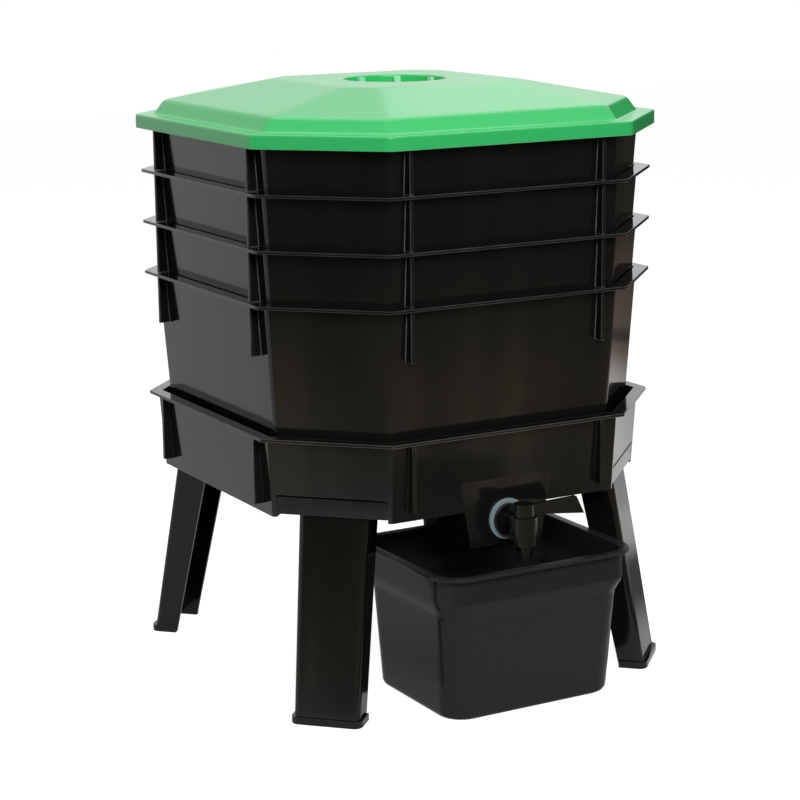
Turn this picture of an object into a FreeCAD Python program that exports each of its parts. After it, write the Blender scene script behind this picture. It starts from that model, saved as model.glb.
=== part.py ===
import FreeCAD, Part
import math
import os
import re

# Wormery: four nesting trays with slotted floors on a collecting base with a tap, under a
# hipped lid, on four splayed channel legs, with a drip tub standing below the tap.
# Millimetres. Origin: on the floor, midway between the four feet. +Z up, tap towards -Y.

doc = FreeCAD.newDocument("wormery")

TRAYS = 4
# Slots on either side of the middle of a tray's floor, and how many steps out in all.
SLOT_COLUMNS = 3
SLOT_LINES = 3
SLOT_STEPS = 4
# Ribs and vents round the lid's recess, the first rib and vent this many degrees from +X.
RECESS_RIBS = 8
RECESS_VENTS = 4
RECESS_FIRST_TURN = 12
# How far a cutting tool runs past the face that it opens.
PAST = "1"

# Driving dimensions. Every eight-sided outline of the body is the lid's outline moved
# straight in, so one corner cut serves them all.
SIZES = {
    # Eight-sided plan
    "lid_half": 225.0,
    "corner_cut": 94.0,
    # Collecting base
    "base_floor_level": 192.0,
    "base_high": 78.0,
    "base_rim_inset": 1.4,
    "base_rim_out": 8.6,
    "base_draft": 0.062,
    "base_wall": 3.0,
    "base_floor": 3.0,
    "base_rib_foot": 10.0,
    "base_rib_reach": 5.5,
    "tray_seat_high": 25.0,
    "socket_clear": 3.8,
    # Trays
    "tray_high": 177.7,
    "tray_rim_out": 12.0,
    "tray_draft": 0.068,
    "tray_wall": 2.4,
    "tray_floor": 3.0,
    "tray_pitch": 51.5,
    "rim_thick": 3.0,
    "seat_gap": 0.3,
    # Ribs under the rims
    "rib_offset": 105.0,
    "rib_thick": 4.0,
    "rib_reach": 7.5,
    # Slots in the tray floors
    "slot_long": 30.0,
    "slot_wide": 6.0,
    "slot_pitch_x": 50.0,
    "slot_pitch_y": 46.0,
    # Lid
    "lid_wall": 2.8,
    "lid_gap": 1.2,
    "brim_thick": 3.2,
    "skirt_high": 10.3,
    "step_foot_inset": 17.0,
    "step_top_inset": 26.4,
    "step_high": 13.6,
    "roof_high": 19.6,
    "crown_half": 98.0,
    "crown_cut": 26.0,
    "recess_radius": 51.0,
    "recess_deep": 15.5,
    "recess_rib_reach": 4.0,
    "recess_rib_wide": 5.0,
    "recess_rib_below": 3.0,
    "vent_radius": 3.0,
    "vent_ring_radius": 30.0,
    # Legs
    "leg_inset": 7.8,
    "leg_splay_slope": 0.1751,
    "leg_foot_half": 32.4,
    "leg_taper_slope": 0.01,
    "leg_foot_deep": 25.5,
    "leg_depth_slope": 0.0476,
    "leg_wall": 3.6,
    "leg_corner": 6.0,
    "foot_lip": 2.6,
    "foot_lip_high": 7.0,
    "head_plate": 3.2,
    "head_half": 54.0,
    "head_foot": 3.3,
    "socket_gap": 0.3,
    # Sump below the tap side of the base
    "sump_out": 2.8,
    "sump_deep": 59.0,
    "sump_top_half": 50.0,
    "sump_low_half": 40.0,
    "sump_drop": 35.0,
    "sump_rise": 29.0,
    # Tap
    "tap_drop": 11.0,
    "tail_radius": 10.0,
    "tail_clear": 0.3,
    "tail_past_nut": 4.0,
    "inlet_radius": 6.0,
    "washer_radius": 20.0,
    "washer_thick": 3.0,
    "nut_flats": 32.0,
    "nut_thick": 8.0,
    "flange_radius": 16.0,
    "flange_thick": 4.0,
    "barrel_radius": 8.0,
    "valve_reach": 24.0,
    "valve_radius": 13.0,
    "valve_below": 18.0,
    "valve_above": 9.0,
    "valve_floor": 4.0,
    "spout_radius": 8.0,
    "spout_bore": 5.5,
    "spout_long": 14.0,
    "web_thick": 3.0,
    "web_out": 4.0,
    "web_lift": 14.0,
    "web_below": 9.0,
    "plug_radius": 8.0,
    "plug_gap": 0.05,
    "plug_port": 5.0,
    "hub_radius": 10.0,
    "hub_high": 12.0,
    "paddle_long": 67.0,
    "paddle_thick": 5.0,
    "paddle_root_half": 4.0,
    "paddle_tip_above": 6.0,
    "paddle_tip_below": 12.0,
    "paddle_tip_slant": 9.0,
    # Drip tub
    "tub_high": 145.5,
    "tub_past_tap": 6.0,
    "tub_aside": 9.0,
    "tub_long": 150.0,
    "tub_low_half": 93.0,
    "tub_lower_high": 102.0,
    "tub_flare": 6.0,
    "tub_step_high": 13.0,
    "tub_step_out": 5.0,
    "tub_rim_out": 7.0,
    "tub_rim_thick": 3.0,
    "tub_wall": 2.6,
    "tub_corner": 24.0,
}

# What follows from them. The plan's cut corners are faces turned 45 degrees: corner_shift is
# how much further from the axis they stand than the four main faces.
DERIVED = {
    "corner_shift": "(2 * lid_half - corner_cut) / sqrt(2) - lid_half",
    "base_rim_level": "base_floor_level + base_high",
    "rim_half": "lid_half - lid_wall - lid_gap",
    "base_rim_half": "rim_half - base_rim_inset",
    "base_top_half": "base_rim_half - base_rim_out",
    "base_low_half": "base_top_half - base_draft * base_high",
    "seat_level": "base_floor_level + tray_seat_high",
    "tray_1_level": "seat_level + seat_gap",
    "tray_top_half": "rim_half - tray_rim_out",
    "tray_low_half": "tray_top_half - tray_draft * tray_high",
    "brim_under": f"tray_1_level + tray_high + {TRAYS - 1} * tray_pitch + seat_gap",
    "brim_level": "brim_under + brim_thick",
    "step_level": "brim_level + step_high",
    "crown_level": "step_level + roof_high",
    "recess_level": "crown_level - recess_deep",
    "rib_long": "tray_pitch - rim_thick - seat_gap",
    "leg_top_level": "seat_level - base_wall - socket_gap",
    "head_low_level": "base_floor_level + head_foot",
    "head_low_reach": "base_low_half + base_draft * head_foot + corner_shift",
    "head_top_reach": "base_low_half + base_draft * (leg_top_level - base_floor_level) + corner_shift",
    "leg_top_reach": "head_top_reach - leg_inset",
    "foot_reach": "leg_top_reach + leg_splay_slope * leg_top_level",
    "leg_top_half": "leg_foot_half + leg_taper_slope * leg_top_level",
    "leg_top_deep": "leg_foot_deep + leg_depth_slope * leg_top_level",
    "socket_inside": "leg_top_reach - leg_top_deep - socket_clear",
    "sump_low_level": "base_floor_level - sump_drop",
    "sump_top_level": "base_floor_level + sump_rise",
    "tap_level": "base_floor_level - tap_drop",
    "sump_face": "base_low_half + sump_out",
    "tap_seat": "sump_face + washer_thick",
    "sump_inside": "sump_face - base_wall",
    "nut_seat": "sump_inside - washer_thick",
    "tail_end": "nut_seat - nut_thick - tail_past_nut",
    "valve_centre": "tap_seat + flange_thick + valve_reach",
    "valve_low": "tap_level - valve_below",
    "valve_top": "tap_level + valve_above",
    "spout_low": "valve_low - spout_long",
    "hub_level": "valve_top + seat_gap",
    "hub_mid": "hub_level + hub_high / 2",
    "tub_front": "valve_centre + tub_past_tap",
    "tub_back": "tub_front - tub_long",
    "tub_ledge": "tub_lower_high + tub_step_high",
    "tub_upper_out": "tub_flare + tub_step_out",
    "tub_lip_out": "tub_upper_out + tub_rim_out",
}


def prefixed(text, names, sheet):
    """The formula with each of the names written as a cell of the sheet."""
    return re.sub(r"[a-z]\w*", lambda word: f"{sheet}.{word.group()}" if word.group() in names
                  else word.group(), text)


sizes = doc.addObject("Spreadsheet::Sheet", "sizes")
for row, (name, number) in enumerate(SIZES.items(), 1):
    sizes.set(f"A{row}", name)
    sizes.set(f"B{row}", str(number))
    sizes.setAlias(f"B{row}", name)
doc.recompute()

levels = doc.addObject("Spreadsheet::Sheet", "levels")
for row, (name, text) in enumerate(DERIVED.items(), 1):
    levels.set(f"A{row}", name)
    levels.set(f"B{row}", "=" + prefixed(text, SIZES, "sizes"))
    levels.setAlias(f"B{row}", name)
doc.recompute()

X_AXIS = FreeCAD.Vector(1, 0, 0)
Y_AXIS = FreeCAD.Vector(0, 1, 0)
Z_AXIS = FreeCAD.Vector(0, 0, 1)
UPRIGHT = FreeCAD.Rotation(X_AXIS, 90)
DIRECTIONS = {"+z": FreeCAD.Rotation(), "+y": FreeCAD.Rotation(X_AXIS, -90),
              "-y": FreeCAD.Rotation(X_AXIS, 90), "-x": FreeCAD.Rotation(Y_AXIS, -90)}
QUARTERS = (0, 90, 180, 270)
CORNERS = (45, 135, 225, 315)


def bind(part, prop, text):
    """Tie one property to a formula of sizes and levels."""
    text = prefixed(text, SIZES, "sizes")
    names = {name for name in DERIVED if name not in SIZES}
    part.setExpression(prop, re.sub(r"(?<![.\w])[a-z]\w*", lambda word: f"levels.{word.group()}"
                                    if word.group() in names else word.group(), text))


def block(name, x, y, z, top_x=None, top_y=None, turn=0):
    """Straight or tapered block: x and y spans at the low level and at the top, about +Z by turn."""
    part = doc.addObject("Part::Wedge", name)
    part.Placement = FreeCAD.Placement(FreeCAD.Vector(), FreeCAD.Rotation(Z_AXIS, turn) * UPRIGHT)
    top_x = top_x or x
    top_y = top_y or y
    # The wedge's own Y is the part's height, and its own Z runs towards the part's -Y.
    for prop, text in (("Xmin", x[0]), ("Xmax", x[1]), ("Zmin", f"-({y[1]})"), ("Zmax", f"-({y[0]})"),
                       ("Ymin", z[0]), ("Ymax", z[1]), ("X2min", top_x[0]), ("X2max", top_x[1]),
                       ("Z2min", f"-({top_y[1]})"), ("Z2max", f"-({top_y[0]})")):
        bind(part, prop, text)
    return part


def both(text):
    """Span from minus to plus a half width."""
    return (f"-({text})", text)


def octagon(name, low_half, top_half, low, top, top_corner=None):
    """Eight-sided block: a square block cut by one turned 45 degrees, a corner's own reach at the top."""
    square = block(f"{name}_square", both(low_half), both(low_half), (low, top), both(top_half),
                   both(top_half))
    low_corner = f"{low_half} + corner_shift"
    top_corner = top_corner or f"{top_half} + corner_shift"
    diamond = block(f"{name}_diamond", both(low_corner), both(low_corner), (low, top),
                    both(top_corner), both(top_corner), turn=45)
    return shared(name, square, diamond)


def rod(name, radius, length, x="0", y="0", z="0", along="+z"):
    """Cylinder from a point, along one of DIRECTIONS."""
    part = doc.addObject("Part::Cylinder", name)
    part.Placement = FreeCAD.Placement(FreeCAD.Vector(), DIRECTIONS[along])
    bind(part, "Radius", radius)
    bind(part, "Height", length)
    for axis, text in (("x", x), ("y", y), ("z", z)):
        bind(part, f".Placement.Base.{axis}", text)
    return part


def shared(name, first, second):
    part = doc.addObject("Part::Common", name)
    part.Base = first
    part.Tool = second
    return part


def joined(name, *pieces):
    part = doc.addObject("Part::MultiFuse", name)
    part.Shapes = list(pieces)
    return part


def cut(name, base, *tools):
    """The base with the tools taken away."""
    part = doc.addObject("Part::Cut", name)
    part.Base = base
    part.Tool = tools[0] if len(tools) == 1 else joined(f"{name}_tools", *tools)
    return part


def rounded(name, source, radius, count=4):
    """The block with its upright edges rounded, all four or the two that stand furthest out."""
    doc.recompute()
    upright = []
    for number, edge in enumerate(source.Shape.Edges, 1):
        run = edge.Vertexes[-1].Point - edge.Vertexes[0].Point
        middle = edge.CenterOfMass
        if abs(run.z) > 0.7 * run.Length:
            upright.append((math.hypot(middle.x, middle.y), number))
    upright.sort(reverse=True)
    part = doc.addObject("Part::Fillet", name)
    part.Base = source
    part.Edges = [(number, radius, radius) for _, number in upright[:count]]
    return part


def wall_ribs(name, inner, outer, low, top):
    """Two upright ribs on each of the four main walls."""
    ribs = []
    for quarter in QUARTERS:
        for side in (-1, 1):
            middle = f"{side} * rib_offset"
            ribs.append(block(f"{name}_{quarter}_{'left' if side < 0 else 'right'}", (inner, outer),
                              (f"{middle} - rib_thick / 2", f"{middle} + rib_thick / 2"), (low, top),
                              turn=quarter))
    return ribs


def make_tray():
    """One tray standing on its own floor: holed floor, tapered wall, flat rim, ribs below it."""
    outer = octagon("tray_outer", "tray_low_half", "tray_top_half", "0", "tray_high")
    rim = octagon("tray_rim", "rim_half", "rim_half", "tray_high - rim_thick", "tray_high")
    under_rim = "tray_high - rim_thick"
    ribs = wall_ribs("tray_rib", "tray_low_half", "tray_top_half + rib_reach",
                     f"{under_rim} - rib_long", under_rim)
    solid = joined("tray_solid", outer, rim, *ribs)
    void = octagon("tray_void", "tray_low_half + tray_draft * tray_floor - tray_wall",
                   f"tray_top_half + tray_draft * {PAST} - tray_wall", "tray_floor", f"tray_high + {PAST}")
    slots = []
    for column in range(-SLOT_COLUMNS, SLOT_COLUMNS + 1):
        for line in range(-SLOT_LINES, SLOT_LINES + 1):
            if abs(column) + abs(line) > SLOT_STEPS:
                continue
            x = f"{column} * slot_pitch_x"
            y = f"{line} * slot_pitch_y"
            slots.append(block(f"slot_{column + SLOT_COLUMNS}_{line + SLOT_LINES}",
                               (f"{x} - slot_long / 2", f"{x} + slot_long / 2"),
                               (f"{y} - slot_wide / 2", f"{y} + slot_wide / 2"),
                               (f"-{PAST}", f"tray_floor + {PAST}")))
    return cut("tray_form", cut("tray_shell", solid, void), *slots)


def make_lid():
    """Hipped lid: skirt, brim, step and roof slopes up to a flat crown with a round recess."""
    step_foot = "lid_half - step_foot_inset"
    step_top = "lid_half - step_top_inset"
    crown_corner = "(2 * crown_half - crown_cut) / sqrt(2)"
    brim = octagon("lid_brim", "lid_half", "lid_half", "brim_under - skirt_high", "brim_level")
    step = octagon("lid_step", step_foot, step_top, "brim_level", "step_level")
    roof = octagon("lid_roof", step_top, "crown_half", "step_level", "crown_level", crown_corner)
    cup = rod("recess_cup", "recess_radius + lid_wall", "recess_deep + lid_wall / 2",
              z="recess_level - lid_wall")
    brim_void = octagon("brim_void", "lid_half - lid_wall", "lid_half - lid_wall",
                        f"brim_under - skirt_high - {PAST}", "brim_under")
    step_void = octagon("step_void", f"{step_foot} - lid_wall", f"{step_top} - lid_wall", "brim_under",
                        "step_level - lid_wall")
    roof_void = octagon("roof_void", f"{step_top} - lid_wall", "crown_half", "step_level - lid_wall",
                        "crown_level - lid_wall", crown_corner)
    hollow = cut("lid_hollow", joined("lid_outer", brim, step, roof), brim_void, step_void, roof_void)
    recess = rod("recess_void", "recess_radius", f"recess_deep + {PAST}", z="recess_level")
    ribs = []
    vents = []
    for number in range(RECESS_RIBS):
        turn = RECESS_FIRST_TURN + number * 360 / RECESS_RIBS
        ribs.append(block(f"recess_rib_{number}",
                          ("recess_radius - recess_rib_reach", "recess_radius + lid_wall / 2"),
                          both("recess_rib_wide / 2"),
                          ("recess_level - lid_wall / 2", "crown_level - recess_rib_below"), turn=turn))
    for number in range(RECESS_VENTS):
        turn = RECESS_FIRST_TURN + number * 360 / RECESS_VENTS
        vent = rod(f"vent_{number}", "vent_radius", f"lid_wall + 2 * {PAST}",
                   z=f"recess_level - lid_wall - {PAST}")
        bind(vent, ".Placement.Base.x", f"vent_ring_radius * cos({turn} deg)")
        bind(vent, ".Placement.Base.y", f"vent_ring_radius * sin({turn} deg)")
        vents.append(vent)
    dished = cut("lid_dished", joined("lid_with_cup", hollow, cup), recess)
    return cut("lid", joined("lid_ribbed", dished, *ribs), *vents)


def make_base():
    """Collecting base: tapered tub with a rim, ribs, four leg sockets and a sump for the tap."""
    inner_low = "base_low_half + base_draft * base_floor - base_wall"
    outer = octagon("base_outer", "base_low_half", "base_top_half", "base_floor_level", "base_rim_level")
    rim = octagon("base_rim", "base_rim_half", "base_rim_half", "base_rim_level - rim_thick",
                  "base_rim_level")
    ribs = wall_ribs("base_rib", "base_low_half - base_wall / 2", "base_top_half + base_rib_reach",
                     "base_floor_level + base_rib_foot", "base_rim_level - rim_thick")
    sump = block("sump_outer", both("sump_low_half"), ("-sump_face", "sump_deep - sump_face"),
                 ("sump_low_level", "sump_top_level"), both("sump_top_half"))
    void = octagon("base_void", inner_low, f"base_top_half + base_draft * {PAST} - base_wall",
                   "base_floor_level + base_floor", f"base_rim_level + {PAST}")
    shell = cut("base_shell", joined("base_solid", outer, rim, sump, *ribs), void)
    sockets = []
    recesses = []
    for turn in CORNERS:
        beyond = f"base_top_half + corner_shift + {PAST}"
        wide = "head_half + socket_gap"
        socket = block(f"socket_{turn}", ("socket_inside - base_wall", beyond), both(f"{wide} + base_wall"),
                       ("base_floor_level", "seat_level"), turn=turn)
        sockets.append(socket)
        recesses.append(block(f"leg_recess_{turn}", ("socket_inside", beyond), both(wide),
                              (f"base_floor_level - {PAST}", "seat_level - base_wall"), turn=turn))
    walls = shared("base_sockets", outer, joined("socket_blocks", *sockets))
    socketed = joined("base_socketed", shell, walls)
    sump_void = block("sump_void", both("sump_low_half - base_wall"),
                      ("-sump_inside", "sump_deep - sump_face - base_wall"),
                      ("sump_low_level + base_wall", "sump_top_level - base_wall"),
                      both("sump_top_half - base_wall"))
    tap_hole = rod("tap_hole", "tail_radius + tail_clear", f"base_wall + 2 * {PAST}",
                   y=f"{PAST} - sump_inside", z="tap_level", along="-y")
    return cut("base", socketed, sump_void, tap_hole, *recesses)


def make_leg(name, turn):
    """Splayed channel leg: outer plate, two flanges, a lip round the foot and a wide head plate."""
    shell_block = block(f"{name}_block", ("foot_reach - leg_foot_deep", "foot_reach"),
                        both("leg_foot_half"), ("0", "leg_top_level"),
                        ("leg_top_reach - leg_top_deep", "leg_top_reach"), both("leg_top_half"), turn)
    shell = rounded(f"{name}_shell", shell_block, sizes.leg_corner, 2)
    lip_block = block(f"{name}_lip_block", ("foot_reach - leg_foot_deep", "foot_reach + foot_lip"),
                      both("leg_foot_half + foot_lip"), ("0", "foot_lip_high"), turn=turn)
    lip = rounded(f"{name}_lip", lip_block, sizes.leg_corner + sizes.foot_lip, 2)
    void_top = "leg_top_level - leg_wall"
    void = block(f"{name}_void", (f"foot_reach - leg_foot_deep - {PAST}", "foot_reach - leg_wall"),
                 both("leg_foot_half - leg_wall"), (f"-{PAST}", void_top),
                 (f"leg_top_reach - leg_top_deep - {PAST}",
                  f"foot_reach - leg_splay_slope * ({void_top}) - leg_wall"),
                 both("leg_top_half - leg_wall"), turn)
    plate = block(f"{name}_plate", ("head_low_reach - head_plate", "head_low_reach"), both("head_half"),
                  ("head_low_level", "leg_top_level"), ("head_top_reach - head_plate", "head_top_reach"),
                  turn=turn)
    neck = block(f"{name}_neck", ("leg_top_reach - leg_wall", "head_low_reach - head_plate / 2"),
                 both("leg_foot_half"), ("head_low_level", "leg_top_level"), turn=turn)
    channel = cut(f"{name}_channel", joined(f"{name}_solid", shell, lip), void)
    return joined(name, channel, plate, neck)


def make_washer(name, outer_face):
    """Flat ring round the tap's tail, its outer face at the distance given."""
    ring = rod(f"{name}_ring", "washer_radius", "washer_thick", y=f"-({outer_face})", z="tap_level",
               along="+y")
    hole = rod(f"{name}_hole", "tail_radius + tail_clear", f"washer_thick + 2 * {PAST}",
               y=f"-{PAST} - ({outer_face})", z="tap_level", along="+y")
    return cut(name, ring, hole)


def make_nut():
    """Hexagonal lock nut on the tap's tail, inside the sump."""
    hexagon = doc.addObject("Part::Prism", "nut_hexagon")
    hexagon.Polygon = 6
    hexagon.Placement = FreeCAD.Placement(FreeCAD.Vector(), DIRECTIONS["+y"])
    bind(hexagon, "Circumradius", "nut_flats / sqrt(3)")
    bind(hexagon, "Height", "nut_thick")
    bind(hexagon, ".Placement.Base.y", "-nut_seat")
    bind(hexagon, ".Placement.Base.z", "tap_level")
    hole = rod("nut_hole", "tail_radius + tail_clear", f"nut_thick + 2 * {PAST}",
               y=f"-{PAST} - nut_seat", z="tap_level", along="+y")
    return cut("tap_lock_nut", hexagon, hole)


def make_tap_body():
    """Tap: tail through the sump wall, flange, barrel, upright valve housing, spout and webs."""
    tail = rod("tap_tail", "tail_radius", "tap_seat - tail_end", y="-tap_seat", z="tap_level", along="+y")
    flange = rod("tap_flange", "flange_radius", "flange_thick", y="-tap_seat", z="tap_level", along="-y")
    barrel = rod("tap_barrel", "barrel_radius", "valve_centre - tap_seat", y="-tap_seat", z="tap_level",
                 along="-y")
    housing = rod("valve_housing", "valve_radius", "valve_top - valve_low", y="-valve_centre", z="valve_low")
    spout = rod("tap_spout", "spout_radius", "spout_long + valve_floor / 2", y="-valve_centre",
                z="spout_low")
    side_web = block("side_web", both("spout_radius"),
                     ("-valve_centre - web_thick / 2", "web_thick / 2 - valve_centre"),
                     ("spout_low + web_lift", "tap_level - web_below"), both("valve_radius + web_out"))
    inlet = rod("tap_inlet", "inlet_radius", f"valve_centre - tail_end + {PAST}", y=f"{PAST} - tail_end",
                z="tap_level", along="-y")
    plug_bore = rod("plug_bore", "plug_radius + plug_gap", "valve_top - valve_low", y="-valve_centre",
                    z="valve_low + valve_floor")
    outlet = rod("tap_outlet", "spout_bore", f"spout_long + valve_floor + 2 * {PAST}", y="-valve_centre",
                 z=f"spout_low - {PAST}")
    solid = joined("tap_solid", tail, flange, barrel, housing, spout, side_web)
    return cut("tap_body", solid, inlet, plug_bore, outlet)


def make_tap_lever():
    """Quarter-turn plug with its hub and paddle, closed: the plug's port looks sideways."""
    plug_low = "valve_low + valve_floor + seat_gap"
    plug = rod("lever_plug", "plug_radius", f"hub_mid - ({plug_low})", y="-valve_centre", z=plug_low)
    hub = rod("lever_hub", "hub_radius", "hub_high", y="-valve_centre", z="hub_level")
    paddle = make_paddle()
    down_port = rod("plug_down_port", "plug_port", f"tap_level - ({plug_low}) + {PAST}",
                    y="-valve_centre", z=f"{plug_low} - {PAST}")
    side_port = rod("plug_side_port", "plug_port", f"plug_radius + {PAST}", y="-valve_centre",
                    z="tap_level", along="-x")
    return cut("tap_lever", joined("lever_solid", plug, hub, paddle), down_port, side_port)


def make_paddle():
    """Paddle along +X, deeper at its slanted tip than at the hub."""
    part = doc.addObject("Part::Wedge", "paddle_taper")
    part.Placement = FreeCAD.Placement(FreeCAD.Vector(), FreeCAD.Rotation(Z_AXIS, -90))
    # The wedge's own Y runs along the paddle and its own X across it.
    for prop, text in (("Ymin", "0"), ("Ymax", "paddle_long"), ("Xmin", "-paddle_thick / 2"),
                       ("Xmax", "paddle_thick / 2"), ("X2min", "-paddle_thick / 2"),
                       ("X2max", "paddle_thick / 2"), ("Zmin", "hub_mid - paddle_root_half"),
                       ("Zmax", "hub_mid + paddle_root_half"), ("Z2min", "hub_mid - paddle_tip_below"),
                       ("Z2max", "hub_mid + paddle_tip_above")):
        bind(part, prop, text)
    bind(part, ".Placement.Base.y", "-valve_centre")
    slant = block("paddle_slant", ("0", "paddle_long"),
                  ("-valve_centre - paddle_thick", "paddle_thick - valve_centre"),
                  ("hub_mid - paddle_tip_below", "hub_mid + paddle_tip_above"),
                  ("0", "paddle_long - paddle_tip_slant"))
    return shared("lever_paddle", part, slant)


def tub_block(name, out_low, out_top, low, top, corner):
    """Block with rounded corners on the tub's plan, spread outwards by out_low and out_top."""
    low_x = (f"tub_aside - tub_low_half - {out_low}", f"tub_aside + tub_low_half + {out_low}")
    top_x = (f"tub_aside - tub_low_half - {out_top}", f"tub_aside + tub_low_half + {out_top}")
    plain = block(f"{name}_plain", low_x, (f"-(tub_front + {out_low})", f"{out_low} - tub_back"),
                  (low, top), top_x, (f"-(tub_front + {out_top})", f"{out_top} - tub_back"))
    return rounded(name, plain, corner)


def make_tub():
    """Drip tub in two tiers with rounded corners and a thin flat rim."""
    corner = sizes.tub_corner
    inner_corner = sizes.tub_corner - sizes.tub_wall
    lower = tub_block("tub_lower", "0", "tub_flare", "0", "tub_lower_high", corner)
    step = tub_block("tub_step", "tub_flare", "tub_upper_out", "tub_lower_high", "tub_ledge", corner)
    upper = tub_block("tub_upper", "tub_upper_out", "tub_upper_out", "tub_ledge", "tub_high", corner)
    lip = tub_block("tub_lip", "tub_lip_out", "tub_lip_out", "tub_high - tub_rim_thick", "tub_high",
                    corner + sizes.tub_rim_out)
    floor_out = "tub_flare * tub_wall / tub_lower_high - tub_wall"
    lower_void = tub_block("tub_lower_void", f"({floor_out})", "(tub_flare - tub_wall)", "tub_wall",
                           "tub_lower_high", inner_corner)
    step_void = tub_block("tub_step_void", "(tub_flare - tub_wall)", "(tub_upper_out - tub_wall)",
                          "tub_lower_high", "tub_ledge", inner_corner)
    upper_void = tub_block("tub_upper_void", "(tub_upper_out - tub_wall)", "(tub_upper_out - tub_wall)",
                           "tub_ledge", f"tub_high + {PAST}", inner_corner)
    return cut("drip_tub", joined("tub_solid", lower, step, upper, lip), lower_void, step_void, upper_void)


NODES = {"lid": make_lid(), "collector_base": make_base()}

tray_form = make_tray()
for number in range(1, TRAYS + 1):
    tray = doc.addObject("Part::Compound", f"tray_{number}")
    tray.Links = [tray_form]
    bind(tray, ".Placement.Base.z", f"tray_1_level + {number - 1} * tray_pitch")
    NODES[f"tray_{number}"] = tray

LEG_NAMES = ("leg_back_right", "leg_back_left", "leg_front_left", "leg_front_right")
for name, turn in zip(LEG_NAMES, CORNERS):
    NODES[name] = make_leg(name, turn)

NODES["tap_body"] = make_tap_body()
NODES["tap_lever"] = make_tap_lever()
NODES["tap_outer_washer"] = make_washer("tap_outer_washer", "tap_seat")
NODES["tap_inner_washer"] = make_washer("tap_inner_washer", "sump_inside")
NODES["tap_lock_nut"] = make_nut()
NODES["drip_tub"] = make_tub()

doc.recompute()
for part in doc.Objects:
    if "Invalid" in part.State or "Error" in part.State:
        raise RuntimeError(f"{part.Name} did not recompute: {part.State}")
for name, part in NODES.items():
    part.Label = name
    if part.Shape.isNull() or not part.Shape.isValid():
        raise RuntimeError(f"{name} has no valid shape")
    if len(part.Shape.Solids) != 1:
        raise RuntimeError(f"{name} has {len(part.Shape.Solids)} solids")

os.makedirs("parts", exist_ok=True)
for name, part in NODES.items():
    part.Shape.exportStep(f"parts/{name}.step")
    box = part.Shape.BoundBox
    print(f"{name}: {part.Shape.Volume / 1000:.1f} cm3, x {box.XMin:.1f} to {box.XMax:.1f}, "
          f"y {box.YMin:.1f} to {box.YMax:.1f}, z {box.ZMin:.1f} to {box.ZMax:.1f}")
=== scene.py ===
import math

import bmesh
import bpy
from mathutils import Matrix, Vector


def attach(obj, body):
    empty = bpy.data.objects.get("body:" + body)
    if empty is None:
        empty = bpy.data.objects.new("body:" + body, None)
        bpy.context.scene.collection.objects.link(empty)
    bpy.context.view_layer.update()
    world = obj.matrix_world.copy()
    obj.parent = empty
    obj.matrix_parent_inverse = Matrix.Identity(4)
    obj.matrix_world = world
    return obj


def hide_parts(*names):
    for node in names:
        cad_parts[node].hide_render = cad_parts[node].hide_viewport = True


# Wormery in a plain white studio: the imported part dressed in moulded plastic.
# Metres, in the frame of the part: floor at z = 0, tap towards -Y.

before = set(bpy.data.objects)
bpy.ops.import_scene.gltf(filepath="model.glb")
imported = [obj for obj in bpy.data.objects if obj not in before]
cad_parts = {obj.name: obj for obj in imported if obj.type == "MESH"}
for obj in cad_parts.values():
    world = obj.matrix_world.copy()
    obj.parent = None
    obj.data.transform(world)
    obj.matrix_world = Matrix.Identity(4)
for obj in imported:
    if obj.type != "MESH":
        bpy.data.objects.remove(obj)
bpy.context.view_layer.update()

# Camera, worked out from the corners of the lid and of the tray rims in the photograph.
AZIMUTH = math.radians(-29.525)
ELEVATION = math.radians(12.316)
ROLL = math.radians(-0.603)
DISTANCE = 2.2626
TARGET = Vector((0.0, 0.0, 0.373))
SHIFT_RIGHT = 0.0026
SHIFT_UP = -0.1126
FOCAL_PIXELS = 2225.28
PICTURE_PIXELS = 800
SENSOR_MM = 36.0
CLIP_END = 50.0

ROOT_TWO = math.sqrt(2.0)
QUARTER_TURN = math.radians(90.0)

# Clean-up of meshes: points this near are one, and faces this near in angle are one flat face.
SAME_POINT = 1e-6
FLAT_ANGLE = math.radians(0.5)
SMOOTH_ANGLE = math.radians(32.0)

# Softened edges of the mouldings.
EDGE_ANGLE = math.radians(28.0)
EDGE_STEPS = 3
BODY_EDGE = 0.0009
LEG_EDGE = 0.0012
TAP_EDGE = 0.0005
WASHER_EDGE = 0.0006

# Leg's head plate: its back's distance from the axis, half its width, its top, and how far it is drawn
# in from its top and from its sides.
HEAD_BACK = 0.2298
HEAD_HALF = 0.054
HEAD_TOP = 0.2137
HEAD_TOP_SEAM = 0.0014
HEAD_SIDE_SEAM = 0.0004

# Lofted pieces: how their plan and their profiles are divided, and how soft their corners are.
SIDE_STEPS = 4
CORNER_STEPS = 3
QUARTER_POINTS = 2 * SIDE_STEPS + 2 * CORNER_STEPS + 2
PROFILE_STEPS = 4
# Most of a cut corner's length, and of the gap between two rows of a profile, that one soft corner takes.
MOST_OF_CUT = 0.45
MOST_OF_GAP = 0.49
LID_CORNER = 0.0055
TRAY_CORNER = 0.0035
TUB_CORNER_STEPS = 8
# How much further the body's cut corners stand from the axis than its main sides, in millimetres.
CORNER_SHIFT = 26.73
TRAYS = 4
TRAY_1_LEVEL = 0.2173
TRAY_PITCH = 0.0515
# Tub: its middle and half its foot's width and depth.
TUB_MIDDLE = (0.009, -0.17096)
TUB_HALF = (0.093, 0.075)
# Lid's recess: how deep the vents are drilled, their sides, and how far the tabs reach into its floor.
VENT_DEPTH = 0.012
VENT_SIDES = 24
TAB_SINK = 0.001
# Tabs and ribs: steps of their rounded edges. Tray's slots: how many floors thick the cutting tool is.
BAR_EDGE_STEPS = 3
SLOT_TOOL_FLOORS = 4.0

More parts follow.
